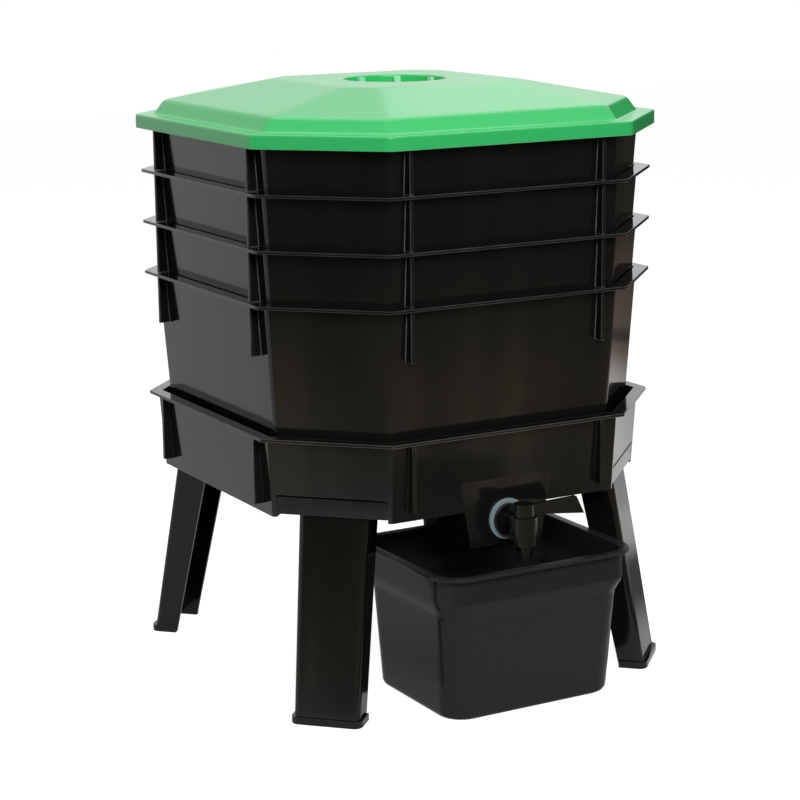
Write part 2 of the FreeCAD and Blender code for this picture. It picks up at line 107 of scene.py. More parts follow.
# Plastic: its refractive index, the depth of its mould texture, how much deeper than the grain the flow
# waves are, and the span of the noise in which handling marks show.
PLASTIC_IOR = 1.5
MOULD_DEPTH = 0.00004
WAVE_SHARE = 6.0
MARK_SPAN = (0.5, 0.75)
# How alike the true and the rounded normals are where an edge is untouched and where it is fully pale, worn
# and with a painted highlight.
EDGE_SPAN = (0.995, 0.85)
EDGE_SAMPLES = 4
# The body's edges up to this level, below all its rims, get only this share of their wear and painted edge
# highlight.
RIMS_FROM = 0.265
RIMS_FADE = 0.005
LOW_WEAR_AND_HIGHLIGHT = 0.12
# Paleness on the lid's tabs, partly finger wear and partly a painted highlight: this share of the noise, on
# top of this much everywhere.
PATCH_SHARE = 0.6
PATCH_LEAST = 0.55

# Studio.
AMBIENT = 0.30
FLOOR_HALF = 6.0
FLOOR_COLOUR = 0.36
FLOOR_GLOW = 0.36
FLOOR_GLOW_SEEN = 0.58
# In reflections the floor glows more behind the object, from one y to the other: a painted reflection.
FLOOR_GLOW_BACK = 0.58
FLOOR_BACK_SPAN = (0.7, 2.8)
# In front of the tub its colour and that glow are this share of themselves at and below the first y, and
# whole above the second, which paints a darker reflection there.
FLOOR_FRONT_SHARE = 0.18
FLOOR_FRONT_SPAN = (-0.58, -0.44)
# To the right, from one x to the other, it is darker, and its glow in reflections falls to nothing: painted
# dark reflections on the object's right sides.
FLOOR_COLOUR_RIGHT = 0.16
FLOOR_RIGHT_SPAN = (0.25, 0.45)
# Further to the right, under the bright foot of the right card, it glows again in reflections: a painted
# bright reflection.
FLOOR_STRIP_GLOW = 0.75
FLOOR_STRIP_SPAN = (0.56, 0.70)

# Cards that only reflections see: glowing sheets, not lamps, that paint the object's reflections. Each has
# rows of angle, distance and height along it, in degrees and metres, and its colour up it as (height,
# colour). Upright streaks vary its strength, painted streaks in the reflections.
CARD_STEP = 3.0
STREAK_SCALE = (40.0, 40.0, 3.0)
STREAK_SPAN = (0.42, 0.68)
STREAK_STRENGTH = (0.75, 2.0)
CARDS = {
    "left_card": (((198.0, 0.72, 0.9), (252.0, 0.72, 0.9)), (
        (0.0, (0.40, 0.385, 0.36)), (0.06, (0.33, 0.30, 0.24)), (0.14, (0.25, 0.205, 0.135)),
        (0.28, (0.06, 0.055, 0.045)), (0.9, (0.04, 0.04, 0.036)))),
    "front_card": (((252.0, 0.72, 0.9), (324.0, 0.72, 0.9)), (
        (0.0, (0.26, 0.23, 0.175)), (0.07, (0.31, 0.26, 0.175)), (0.14, (0.27, 0.22, 0.145)),
        (0.28, (0.065, 0.06, 0.05)), (0.9, (0.045, 0.045, 0.04)))),
    "right_card": (((324.0, 0.72, 0.9), (354.0, 0.88, 0.9), (384.0, 0.88, 0.9), (396.0, 0.88, 0.5)), (
        (0.0, (0.80, 0.79, 0.77)), (0.06, (0.74, 0.72, 0.70)), (0.100, (0.62, 0.59, 0.56)),
        (0.125, (0.38, 0.34, 0.31)), (0.140, (0.22, 0.18, 0.15)), (0.152, (0.20, 0.16, 0.13)),
        (0.157, (0.065, 0.06, 0.055)), (0.167, (0.065, 0.06, 0.055)), (0.176, (0.18, 0.14, 0.115)),
        (0.26, (0.12, 0.09, 0.072)), (0.32, (0.03, 0.027, 0.022)), (0.9, (0.03, 0.03, 0.028)))),
    "tap_card": (((282.0, 0.70, 0.058), (294.0, 0.70, 0.058)), (
        (0.0, (0.09, 0.08, 0.062)), (0.9, (0.09, 0.08, 0.062)))),
}

# Lamps: place, width, height and power. All are aimed at one point of the object.
LAMP_TARGET = Vector((0.0, 0.0, 0.3))
LAMPS = {
    "key_softbox": ((-0.7, -2.6, 1.9), 1.3, 1.3, 69.0),
    "top_softbox": ((0.3, 0.6, 2.6), 2.0, 2.0, 20.0),
    "back_softbox": ((1.73, 1.67, 1.80), 1.3, 1.1, 2.4),
}


def link_new(name, data):
    """New object in the scene."""
    thing = bpy.data.objects.new(name, data)
    bpy.context.scene.collection.objects.link(thing)
    return thing


def make_camera():
    """Camera at the photograph's viewing angle."""
    back = Vector((math.sin(AZIMUTH) * math.cos(ELEVATION), -math.cos(AZIMUTH) * math.cos(ELEVATION),
                   math.sin(ELEVATION)))
    right = Vector((math.cos(AZIMUTH), math.sin(AZIMUTH), 0.0))
    up = back.cross(right)
    place = TARGET + SHIFT_RIGHT * right + SHIFT_UP * up + DISTANCE * back
    rolled_right = math.cos(ROLL) * right + math.sin(ROLL) * up
    rolled_up = back.cross(rolled_right)
    data = bpy.data.cameras.new("studio_camera")
    data.sensor_width = SENSOR_MM
    data.lens = FOCAL_PIXELS * SENSOR_MM / PICTURE_PIXELS
    data.clip_end = CLIP_END
    camera = link_new("studio_camera", data)
    turn = Matrix((rolled_right, rolled_up, back)).transposed()
    camera.matrix_world = Matrix.Translation(place) @ turn.to_4x4()
    bpy.context.scene.camera = camera


# Node trees in general. A value is a number, a colour or another node's output.

def feed(tree, socket, value):
    """Link an output to an input, or set the input to any other value."""
    if isinstance(value, bpy.types.NodeSocket):
        tree.links.new(value, socket)
    else:
        socket.default_value = value


def add(tree, kind, inputs=None, **settings):
    """New node with its settings, and the values for its inputs by their name or number."""
    node = tree.nodes.new(kind)
    for key, value in settings.items():
        setattr(node, key, value)
    for key, value in (inputs or {}).items():
        feed(tree, node.inputs[key], value)
    return node


def group_sockets(tree, takes, gives):
    """Named inputs, each (name, kind, default), and outputs, each (name, kind)."""
    for name, kind, default in takes:
        socket = tree.interface.new_socket(name, in_out="INPUT", socket_type=kind)
        if default is not None:
            socket.default_value = default
    for name, kind in gives:
        tree.interface.new_socket(name, in_out="OUTPUT", socket_type=kind)


def calculated(tree, operation, *values):
    """Result of a Math node."""
    return add(tree, "ShaderNodeMath", dict(enumerate(values)), operation=operation).outputs[0]


def vector_of(tree, x=0.0, y=0.0, z=0.0):
    """Vector from three values."""
    return add(tree, "ShaderNodeCombineXYZ", {"X": x, "Y": y, "Z": z}).outputs[0]


def parts_of(tree, vector):
    """X, Y and Z of a vector."""
    return add(tree, "ShaderNodeSeparateXYZ", {0: vector}).outputs


def spread(tree, value, taken, given=(0.0, 1.0), how="LINEAR"):
    """Value carried over from the span taken to the span given, and held at their ends."""
    ends = {"Value": value, "From Min": taken[0], "From Max": taken[1], "To Min": given[0],
            "To Max": given[1]}
    return add(tree, "ShaderNodeMapRange", ends, interpolation_type=how).outputs["Result"]


# Materials.

def new_material(name):
    """Empty node material and its tree."""
    material = bpy.data.materials.new(name)
    material.use_nodes = True
    tree = material.node_tree
    tree.nodes.clear()
    return material, tree


def object_place(tree):
    """Object coordinates."""
    return add(tree, "ShaderNodeTexCoord").outputs["Object"]


def noise(tree, place, scale, detail, roughness=0.5, distortion=0.0):
    """Noise on the coordinates given."""
    looks = {"Vector": place, "Scale": scale, "Detail": detail, "Roughness": roughness,
             "Distortion": distortion}
    return add(tree, "ShaderNodeTexNoise", looks).outputs["Fac"]


def make_mould_finish():
    """Shader group: fine mould texture, faint flow waves, and roughness with handling marks."""
    tree = bpy.data.node_groups.new("mould_finish", "ShaderNodeTree")
    group_sockets(tree, (("Grain Size", "NodeSocketFloat", 900.0), ("Wave Size", "NodeSocketFloat", 9.0),
                         ("Mark Size", "NodeSocketFloat", 45.0), ("Gloss", "NodeSocketFloat", 0.25),
                         ("Mark Strength", "NodeSocketFloat", 0.10)),
                  (("Height", "NodeSocketFloat"), ("Roughness", "NodeSocketFloat")))
    take = add(tree, "NodeGroupInput").outputs
    place = object_place(tree)
    grain = noise(tree, place, take["Grain Size"], detail=2.0, roughness=0.6)
    waves = noise(tree, place, take["Wave Size"], detail=1.0, roughness=0.4)
    marks = noise(tree, place, take["Mark Size"], detail=6.0, roughness=0.7, distortion=0.6)
    mask = spread(tree, marks, MARK_SPAN)
    add(tree, "NodeGroupOutput", {
        "Height": calculated(tree, "MULTIPLY_ADD", waves, WAVE_SHARE, grain),
        "Roughness": calculated(tree, "MULTIPLY_ADD", mask, take["Mark Strength"], take["Gloss"])})
    return tree


def make_edge_wear_and_highlight():
    """Shader group: how far the surface is from flat, for the paler line along edges: partly wear, partly a
    painted highlight.
    """
    tree = bpy.data.node_groups.new("edge_wear_and_highlight", "ShaderNodeTree")
    group_sockets(tree, (("Radius", "NodeSocketFloat", 0.0015), ("Breakup Size", "NodeSocketFloat", 60.0)),
                  (("Edge", "NodeSocketFloat"),))
    take = add(tree, "NodeGroupInput").outputs
    rounded = add(tree, "ShaderNodeBevel", {"Radius": take["Radius"]}, samples=EDGE_SAMPLES)
    surface = add(tree, "ShaderNodeNewGeometry")
    alike = add(tree, "ShaderNodeVectorMath", {0: rounded.outputs["Normal"], 1: surface.outputs["Normal"]},
                operation="DOT_PRODUCT")
    edge = spread(tree, alike.outputs["Value"], EDGE_SPAN)
    breakup = noise(tree, object_place(tree), take["Breakup Size"], detail=3.0)
    add(tree, "NodeGroupOutput", {"Edge": calculated(tree, "MULTIPLY", edge, breakup)})
    return tree


def make_tab_wear_and_highlight():
    """Shader group: mask of a ring about the Z axis above a level, patchy: finger wear and a painted
    highlight on the tabs.
    """
    tree = bpy.data.node_groups.new("tab_wear_and_highlight", "ShaderNodeTree")
    group_sockets(tree, (("Outer Radius", "NodeSocketFloat", 0.0506), ("Low Level", "NodeSocketFloat", 0.0),
                         ("Patch Size", "NodeSocketFloat", 120.0)), (("Wear And Highlight", "NodeSocketFloat"),))
    take = add(tree, "NodeGroupInput").outputs
    place = object_place(tree)
    spot = parts_of(tree, place)
    radius = calculated(tree, "SQRT", calculated(
        tree, "ADD", calculated(tree, "MULTIPLY", spot["X"], spot["X"]),
        calculated(tree, "MULTIPLY", spot["Y"], spot["Y"])))
    within = calculated(tree, "LESS_THAN", radius, take["Outer Radius"])
    above = calculated(tree, "GREATER_THAN", spot["Z"], take["Low Level"])
    patches = noise(tree, place, take["Patch Size"], detail=2.0)
    patchy = calculated(tree, "MULTIPLY_ADD", patches, PATCH_SHARE, PATCH_LEAST)
    ring = calculated(tree, "MULTIPLY", within, above)
    add(tree, "NodeGroupOutput", {"Wear And Highlight": calculated(tree, "MULTIPLY", ring, patchy)})
    return tree


GROUPS = {"mould_finish": make_mould_finish(), "edge_wear_and_highlight": make_edge_wear_and_highlight(),
          "tab_wear_and_highlight": make_tab_wear_and_highlight()}


def make_plastic(name, colour, wear_and_highlight_colour, gloss, grain_size, bump, specular, marks, tabs=None,
                 rims_from=None):
    """Moulded plastic: body colour, paler along its edges and tabs (partly wear, partly a painted highlight),
    with grain and marks.
    With rims_from, edges below that level get less of that paleness."""
    material, tree = new_material(name)
    finish = add(tree, "ShaderNodeGroup", {"Grain Size": grain_size, "Gloss": gloss, "Mark Strength": marks},
                 node_tree=GROUPS["mould_finish"]).outputs
    wear_and_highlight_mask = add(tree, "ShaderNodeGroup", node_tree=GROUPS["edge_wear_and_highlight"]).outputs["Edge"]
    if rims_from is not None:
        level = parts_of(tree, object_place(tree))["Z"]
        share = spread(tree, level, (rims_from - RIMS_FADE, rims_from), (LOW_WEAR_AND_HIGHLIGHT, 1.0))
        wear_and_highlight_mask = calculated(tree, "MULTIPLY", wear_and_highlight_mask, share)
    if tabs:
        tab_wear_and_highlight_mask = add(tree, "ShaderNodeGroup", tabs, node_tree=GROUPS["tab_wear_and_highlight"]).outputs["Wear And Highlight"]
        wear_and_highlight_mask = calculated(tree, "MAXIMUM", wear_and_highlight_mask, tab_wear_and_highlight_mask)
    blend = add(tree, "ShaderNodeMix", {"Factor": wear_and_highlight_mask, "A": (*colour, 1.0), "B": (*wear_and_highlight_colour, 1.0)},
                data_type="RGBA")
    height = add(tree, "ShaderNodeBump", {
        "Strength": bump, "Distance": MOULD_DEPTH, "Height": finish["Height"]})
    shader = add(tree, "ShaderNodeBsdfPrincipled", {
        "IOR": PLASTIC_IOR, "Specular IOR Level": specular, "Base Color": blend.outputs["Result"],
        "Roughness": finish["Roughness"], "Normal": height.outputs["Normal"]})
    add(tree, "ShaderNodeOutputMaterial", {"Surface": shader.outputs["BSDF"]})
    return material


# Of each plastic: colour, colour of its pale edges and tabs (wear and a painted highlight), gloss, grain
# size, bump, specular level and marks.
PLASTICS = {
    "lid_green": ((0.036, 0.50, 0.135), (0.42, 0.84, 0.58), 0.24, 1400.0, 0.08, 0.5, 0.02),
    "body_black": ((0.0060, 0.0060, 0.0056), (0.28, 0.28, 0.29), 0.11, 1100.0, 0.07, 0.45, 0.05),
    "leg_black": ((0.0042, 0.0042, 0.0040), (0.03, 0.03, 0.03), 0.09, 1100.0, 0.06, 0.36, 0.05),
    "tap_black": ((0.0050, 0.0050, 0.0050), (0.03, 0.03, 0.03), 0.17, 1500.0, 0.08, 0.36, 0.06),
    "washer_pale": ((0.20, 0.26, 0.28), (0.3, 0.35, 0.36), 0.30, 1500.0, 0.15, 0.5, 0.10),
    "tub_black": ((0.0185, 0.0185, 0.0185), (0.06, 0.06, 0.06), 0.20, 1000.0, 0.08, 0.18, 0.06),
}
# Where the pale edge colour changes: painted highlight on the lid's tabs, and less painted edge highlight on
# the body below its rims.
WEAR_AND_HIGHLIGHT_PLACES = {
    "lid_green": {"tabs": {"Outer Radius": 0.0506, "Low Level": 0.5712}},
    "body_black": {"rims_from": RIMS_FROM},
}
MATERIALS = {name: make_plastic(name, *looks, **WEAR_AND_HIGHLIGHT_PLACES.get(name, {}))
             for name, looks in PLASTICS.items()}


# Meshes and pieces.

def applied(draft):
    """Mesh of a working object with its modifiers applied. The object goes."""
    graph = bpy.context.evaluated_depsgraph_get()
    mesh = bpy.data.meshes.new_from_object(draft.evaluated_get(graph))
    bpy.data.objects.remove(draft)
    return mesh


def finish_mesh(draft):
    """Apply the object's modifiers, mark its sharp edges and let its flat faces rule the shading."""
    mesh = applied(draft)
    shape = bmesh.new()
    shape.from_mesh(mesh)
    bmesh.ops.remove_doubles(shape, verts=shape.verts, dist=SAME_POINT)
    bmesh.ops.recalc_face_normals(shape, faces=shape.faces)
    shape.to_mesh(mesh)
    shape.free()
    mesh.shade_smooth()
    mesh.set_sharp_from_angle(angle=SMOOTH_ANGLE)
    shaded = link_new("shading", mesh)
    normals = shaded.modifiers.new("flat_faces_rule", "WEIGHTED_NORMAL")
    normals.keep_sharp = True
    return applied(shaded)


def cad_copy(node):
    """The node's own mesh with the triangles of each flat face merged."""
    shape = bmesh.new()
    shape.from_mesh(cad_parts[node].data)
    bmesh.ops.remove_doubles(shape, verts=shape.verts, dist=SAME_POINT)
    bmesh.ops.dissolve_limit(shape, angle_limit=FLAT_ANGLE, verts=shape.verts, edges=shape.edges)
    mesh = bpy.data.meshes.new(f"{node}_copy")
    shape.to_mesh(mesh)
    shape.free()
    return mesh


def draw_in_head(mesh):
    """Draw a leg's head plate in from its top and side edges, so that the seam round it shows."""
    for vertex in mesh.vertices:
        x, y, z = vertex.co
        out = (abs(x) + abs(y)) / ROOT_TWO
        along = (abs(x) - abs(y)) / ROOT_TWO
        if out < HEAD_BACK:
            continue
        if abs(along) > HEAD_HALF - HEAD_SIDE_SEAM:
            along -= math.copysign(HEAD_SIDE_SEAM, along)
        if z > HEAD_TOP - HEAD_TOP_SEAM:
            z -= HEAD_TOP_SEAM
        vertex.co = (math.copysign((out + along) / ROOT_TWO, x),
                     math.copysign((out - along) / ROOT_TWO, y), z)


def moulded(node, edge, slot, body, change=None):
    """The node's own shape, changed if asked, with softened edges, standing in for the node."""
    mesh = cad_copy(node)
    if change:
        change(mesh)
    draft = link_new(f"{node}_draft", mesh)
    softened = draft.modifiers.new("edges", "BEVEL")
    softened.width = edge
    softened.segments = EDGE_STEPS
    softened.limit_method = "ANGLE"
    softened.angle_limit = EDGE_ANGLE
    softened.use_clamp_overlap = True
    softened.miter_outer = "MITER_ARC"
    place_piece(f"{node}_moulded", finish_mesh(draft), slot, body, node)


def place_piece(name, mesh, slot, body, *nodes):
    """Link a finished mesh as a piece that rides on a body and stands for the nodes named."""
    mesh.materials.clear()
    mesh.materials.append(MATERIALS[slot])
    piece = link_new(name, mesh)
    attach(piece, body)
    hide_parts(*nodes)


def bend(start, corner, finish, steps):
    """Points of a soft corner, from its start to its finish."""
    points = []
    for step in range(steps + 1):
        t = step / steps
        points.append(tuple((1 - t) ** 2 * a + 2 * t * (1 - t) * b + t * t * c
                            for a, b, c in zip(start, corner, finish)))
    return points


def plan_ring(half, corner, level, softness):
    """Closed eight-sided ring: half is how far the main sides stand from the axis, corner the others."""
    side_end = corner * ROOT_TWO - half
    cut_long = (half - side_end) * ROOT_TWO
    soft = min(softness, MOST_OF_CUT * cut_long)
    along = soft / ROOT_TWO
    first = bend((half, side_end - soft), (half, side_end), (half - along, side_end + along), CORNER_STEPS)
    second = [(y, x) for x, y in reversed(first)]
    quarter = [(half, first[0][1] * step / SIDE_STEPS) for step in range(SIDE_STEPS)] + first
    quarter.append(((first[-1][0] + second[0][0]) / 2, (first[-1][1] + second[0][1]) / 2))
    quarter += second
    quarter += [(first[0][1] * (SIDE_STEPS - step) / SIDE_STEPS, half) for step in range(1, SIDE_STEPS)]
    return turned_four_ways(quarter, level)


def round_ring(radius, level):
    """Circle with as many points as a plan ring, starting at the same side."""
    quarter = []
    for step in range(QUARTER_POINTS):
        angle = QUARTER_TURN * step / QUARTER_POINTS
        quarter.append((radius * math.cos(angle), radius * math.sin(angle)))
    return turned_four_ways(quarter, level)


def turned_four_ways(quarter, level):
    """A quarter's points and their copies in the other three quarters, at the level given."""
    points = []
    for turn in range(4):
        for x, y in quarter:
            for _ in range(turn):
                x, y = -y, x
            points.append((x, y, level))
    return points


def soft_profile(points):
    """Profile whose corners are softened: takes and gives rows of numbers, the last taken one a radius."""
    rows = [points[0][:-1]]
    for before, here, after in zip(points, points[1:], points[2:]):
        radius = here[-1]
        if radius <= 0.0:
            rows.append(here[:-1])
            continue
        ends = []
        for other in (before, after):
            gap = math.dist(here[:-1], other[:-1])
            share = min(radius / gap, MOST_OF_GAP)
            ends.append(tuple(a + (b - a) * share for a, b in zip(here[:-1], other[:-1])))
        rows += bend(ends[0], here[:-1], ends[1], PROFILE_STEPS)
    rows.append(points[-1][:-1])
    return rows


def lofted(name, rings):
    """Closed mesh through the rings, capped at the first and the last."""
    count = len(rings[0])
    points = [point for ring in rings for point in ring]
    faces = [tuple(range(count - 1, -1, -1)), tuple(range((len(rings) - 1) * count, len(rings) * count))]
    for low in range(len(rings) - 1):
        for step in range(count):
            after = (step + 1) % count
            faces.append((low * count + step, low * count + after, (low + 1) * count + after,
                          (low + 1) * count + step))
    mesh = bpy.data.meshes.new(name)
    mesh.from_pydata(points, [], faces)
    shape = bmesh.new()
    shape.from_mesh(mesh)
    bmesh.ops.recalc_face_normals(shape, faces=shape.faces)
    shape.to_mesh(mesh)
    shape.free()
    return mesh


# Geometry node trees.

def new_tree(name, takes):
    """Geometry node tree that takes a geometry and named inputs, each (name, kind, default)."""
    tree = bpy.data.node_groups.new(name, "GeometryNodeTree")
    tree.interface.new_socket("Geometry", in_out="INPUT", socket_type="NodeSocketGeometry")
    group_sockets(tree, takes, (("Geometry", "NodeSocketGeometry"),))
    return tree, add(tree, "NodeGroupInput").outputs


def end_tree(tree, geometry, material):
    """Realize Instances and Set Material, the way every tree ends."""
    real = add(tree, "GeometryNodeRealizeInstances", {"Geometry": geometry})
    dressed = add(tree, "GeometryNodeSetMaterial", {
        "Geometry": real.outputs["Geometry"], "Material": material})
    add(tree, "NodeGroupOutput", {"Geometry": dressed.outputs["Geometry"]})


def run_tree(draft, tree, values):
    """Put the tree on the object with the values for its named inputs."""
    modifier = draft.modifiers.new(tree.name, "NODES")
    modifier.node_group = tree
    for item in tree.interface.items_tree:
        if item.item_type == "SOCKET" and item.in_out == "INPUT" and item.name in values:
            modifier[item.identifier] = values[item.name]


def joined(tree, *geometries):
    """Geometries as one."""
    node = add(tree, "GeometryNodeJoinGeometry")
    for geometry in geometries:
        tree.links.new(geometry, node.inputs["Geometry"])
    return node.outputs["Geometry"]


def soft_bar(tree, width, thick, height, softness):
    """Upright bar with rounded edges, standing on z = 0 round the axis."""
    outline = add(tree, "GeometryNodeCurvePrimitiveQuadrilateral", {"Width": width, "Height": thick})
    rounded = add(tree, "GeometryNodeFilletCurve", {
        "Count": BAR_EDGE_STEPS, "Limit Radius": True, "Curve": outline.outputs["Curve"], "Radius": softness},
        mode="POLY")
    face = add(tree, "GeometryNodeFillCurve", {"Curve": rounded.outputs["Curve"]}, mode="NGONS")
    bar = add(tree, "GeometryNodeExtrudeMesh", {
        "Individual": False, "Mesh": face.outputs["Mesh"], "Offset": vector_of(tree, z=1.0),
        "Offset Scale": height}, mode="FACES")
    flipped = add(tree, "GeometryNodeFlipFaces", {"Mesh": face.outputs["Mesh"]})
    both = joined(tree, bar.outputs["Mesh"], flipped.outputs["Mesh"])
    merged = add(tree, "GeometryNodeMergeByDistance", {"Distance": SAME_POINT, "Geometry": both})
    return merged.outputs["Geometry"]


def ring_of_points(tree, count, radius, first_turn, level):
    """Points round the Z axis and the turn that faces each one outwards."""
    line = add(tree, "GeometryNodeMeshLine", {"Count": count})
    index = add(tree, "GeometryNodeInputIndex")
    share = calculated(tree, "DIVIDE", index.outputs["Index"], count)
    turn = calculated(tree, "MULTIPLY_ADD", share, 2.0 * math.pi, first_turn)
    x = calculated(tree, "MULTIPLY", calculated(tree, "COSINE", turn), radius)
    y = calculated(tree, "MULTIPLY", calculated(tree, "SINE", turn), radius)
    placed = add(tree, "GeometryNodeSetPosition", {
        "Geometry": line.outputs["Mesh"], "Position": vector_of(tree, x, y, level)})
    return placed.outputs["Geometry"], vector_of(tree, z=turn)


def copies(tree, points, shape, turn=(0.0, 0.0, 0.0)):
    """Instances of the shape on the points."""
    node = add(tree, "GeometryNodeInstanceOnPoints", {"Points": points, "Instance": shape, "Rotation": turn})
    return node.outputs["Instances"]


def cut_away(tree, geometry, tools):
    """Exact difference of a mesh and instanced tools."""
    solid_tools = add(tree, "GeometryNodeRealizeInstances", {"Geometry": tools})
    node = add(tree, "GeometryNodeMeshBoolean", operation="DIFFERENCE", solver="EXACT")
    feed(tree, node.inputs["Mesh 1"], geometry)
    feed(tree, node.inputs["Mesh 2"], solid_tools.outputs["Geometry"])
    return node.outputs["Mesh"]


def make_recess_tree():
    """Vents through the recess's floor and upright tabs round its wall."""
    tree, take = new_tree("recess_details", (
        ("Tabs", "NodeSocketInt", 8), ("Vents", "NodeSocketInt", 4), ("First Turn", "NodeSocketFloat", 0.0),
        ("Vent Radius", "NodeSocketFloat", 0.003), ("Vent Ring", "NodeSocketFloat", 0.03),
        ("Tab Middle", "NodeSocketFloat", 0.05), ("Tab Reach", "NodeSocketFloat", 0.006),
        ("Tab Width", "NodeSocketFloat", 0.005), ("Tab Height", "NodeSocketFloat", 0.01),
        ("Floor Level", "NodeSocketFloat", 0.57), ("Softness", "NodeSocketFloat", 0.001),
        ("Material", "NodeSocketMaterial", None)))
    drill = add(tree, "GeometryNodeMeshCylinder", {
        "Vertices": VENT_SIDES, "Depth": VENT_DEPTH, "Radius": take["Vent Radius"]})
    points, turn = ring_of_points(tree, take["Vents"], take["Vent Ring"], take["First Turn"],
                                  take["Floor Level"])
    drilled = cut_away(tree, take["Geometry"], copies(tree, points, drill.outputs["Mesh"], turn))
    tab = soft_bar(tree, take["Tab Reach"], take["Tab Width"], take["Tab Height"], take["Softness"])
    foot = calculated(tree, "SUBTRACT", take["Floor Level"], TAB_SINK)
    points, turn = ring_of_points(tree, take["Tabs"], take["Tab Middle"], take["First Turn"], foot)
    end_tree(tree, joined(tree, drilled, copies(tree, points, tab, turn)), take["Material"])
    return tree


def make_tray_tree():
    """Slots through a tray's floor and two upright ribs on each main wall."""
    tree, take = new_tree("tray_details", (
        ("Slots Each Way", "NodeSocketInt", 7), ("Steps Out", "NodeSocketFloat", 4.5),
        ("Column Pitch", "NodeSocketFloat", 0.05), ("Line Pitch", "NodeSocketFloat", 0.046),
        ("Slot Long", "NodeSocketFloat", 0.03), ("Slot Wide", "NodeSocketFloat", 0.006),
        ("Floor Thick", "NodeSocketFloat", 0.003), ("Rib Offset", "NodeSocketFloat", 0.105),
        ("Rib Middle", "NodeSocketFloat", 0.2), ("Rib Reach", "NodeSocketFloat", 0.02),
        ("Rib Thick", "NodeSocketFloat", 0.004), ("Rib Long", "NodeSocketFloat", 0.048),
        ("Rib Foot", "NodeSocketFloat", 0.12), ("Softness", "NodeSocketFloat", 0.0006),
        ("Material", "NodeSocketMaterial", None)))
    gaps = calculated(tree, "SUBTRACT", take["Slots Each Way"], 1.0)
    grid = add(tree, "GeometryNodeMeshGrid", {
        "Size X": calculated(tree, "MULTIPLY", gaps, take["Column Pitch"]),
        "Size Y": calculated(tree, "MULTIPLY", gaps, take["Line Pitch"]),
        "Vertices X": take["Slots Each Way"], "Vertices Y": take["Slots Each Way"]})
    spot = parts_of(tree, add(tree, "GeometryNodeInputPosition").outputs["Position"])
    columns = calculated(tree, "ABSOLUTE", calculated(tree, "DIVIDE", spot["X"], take["Column Pitch"]))
    lines = calculated(tree, "ABSOLUTE", calculated(tree, "DIVIDE", spot["Y"], take["Line Pitch"]))
    outer = add(tree, "FunctionNodeCompare", data_type="FLOAT", operation="GREATER_THAN")
    feed(tree, outer.inputs[0], calculated(tree, "ADD", columns, lines))
    feed(tree, outer.inputs[1], take["Steps Out"])
    kept = add(tree, "GeometryNodeDeleteGeometry", {
        "Geometry": grid.outputs["Mesh"], "Selection": outer.outputs[0]}, domain="POINT")
    tool_high = calculated(tree, "MULTIPLY", take["Floor Thick"], SLOT_TOOL_FLOORS)
    slot = add(tree, "GeometryNodeMeshCube", {
        "Size": vector_of(tree, take["Slot Long"], take["Slot Wide"], tool_high)})
    holed = cut_away(tree, take["Geometry"], copies(tree, kept.outputs["Geometry"], slot.outputs["Mesh"]))

    rib = soft_bar(tree, take["Rib Reach"], take["Rib Thick"], take["Rib Long"], take["Softness"])
    sides = []
    for sign in (1.0, -1.0):
        aside = calculated(tree, "MULTIPLY", take["Rib Offset"], sign)
        moved = add(tree, "GeometryNodeTransform", {
            "Geometry": rib, "Translation": vector_of(tree, take["Rib Middle"], aside, take["Rib Foot"])})
        sides.append(moved.outputs["Geometry"])
    pair = joined(tree, *sides)
    middle, turn = ring_of_points(tree, 4, 0.0, 0.0, 0.0)
    end_tree(tree, joined(tree, holed, copies(tree, middle, pair, turn)), take["Material"])
    return tree


# The object's own pieces.

def body_row(half, level, radius, corner=None):
    """Profile row in metres: half, reach of the cut corners, level and softness, from millimetres."""
    corner = half + CORNER_SHIFT if corner is None else corner
    return (half / 1000, corner / 1000, level / 1000, radius / 1000)


def make_lid():
    """Lid: round finger recess, crown, four slopes, step, brim and skirt, hollow below."""
    rings = [round_ring(radius, level) for radius, level in soft_profile((
        (0.0495, 0.5707, 0.0), (0.051, 0.5707, 0.0015), (0.051, 0.5862, 0.0024), (0.0545, 0.5862, 0.0)))]
    outer = soft_profile((
        body_row(84.0, 586.2, 0.0, 112.0), body_row(98.0, 586.2, 8.0, 120.21),
        body_row(198.6, 566.6, 5.5), body_row(208.0, 553.0, 3.2), body_row(225.0, 553.0, 2.6),
        body_row(225.0, 539.5, 0.9), body_row(222.2, 539.5, 0.9), body_row(222.2, 549.8, 1.2),
        body_row(205.2, 549.8, 1.2), body_row(195.8, 563.8, 3.0), body_row(98.0, 583.4, 7.5, 120.21),
        body_row(84.0, 583.4, 0.0, 112.0)))
    rings += [plan_ring(half, corner, level, LID_CORNER) for half, corner, level in outer]
    rings += [round_ring(radius, level) for radius, level in soft_profile((
        (0.0558, 0.5834, 0.0), (0.0538, 0.5834, 0.001), (0.0538, 0.5679, 0.001), (0.0520, 0.5679, 0.0)))]
    draft = link_new("lid_draft", lofted("lid_loft", rings))
    run_tree(draft, make_recess_tree(), {
        "Tabs": 8, "Vents": 4, "First Turn": math.radians(12.0), "Vent Radius": 0.003,
        "Vent Ring": 0.030, "Tab Middle": 0.0497, "Tab Reach": 0.0054, "Tab Width": 0.0066,
        "Tab Height": 0.0148, "Floor Level": 0.5707, "Softness": 0.0012,
        "Material": MATERIALS["lid_green"]})
    place_piece("lid_moulded", finish_mesh(draft), "lid_green", "lid", "lid")


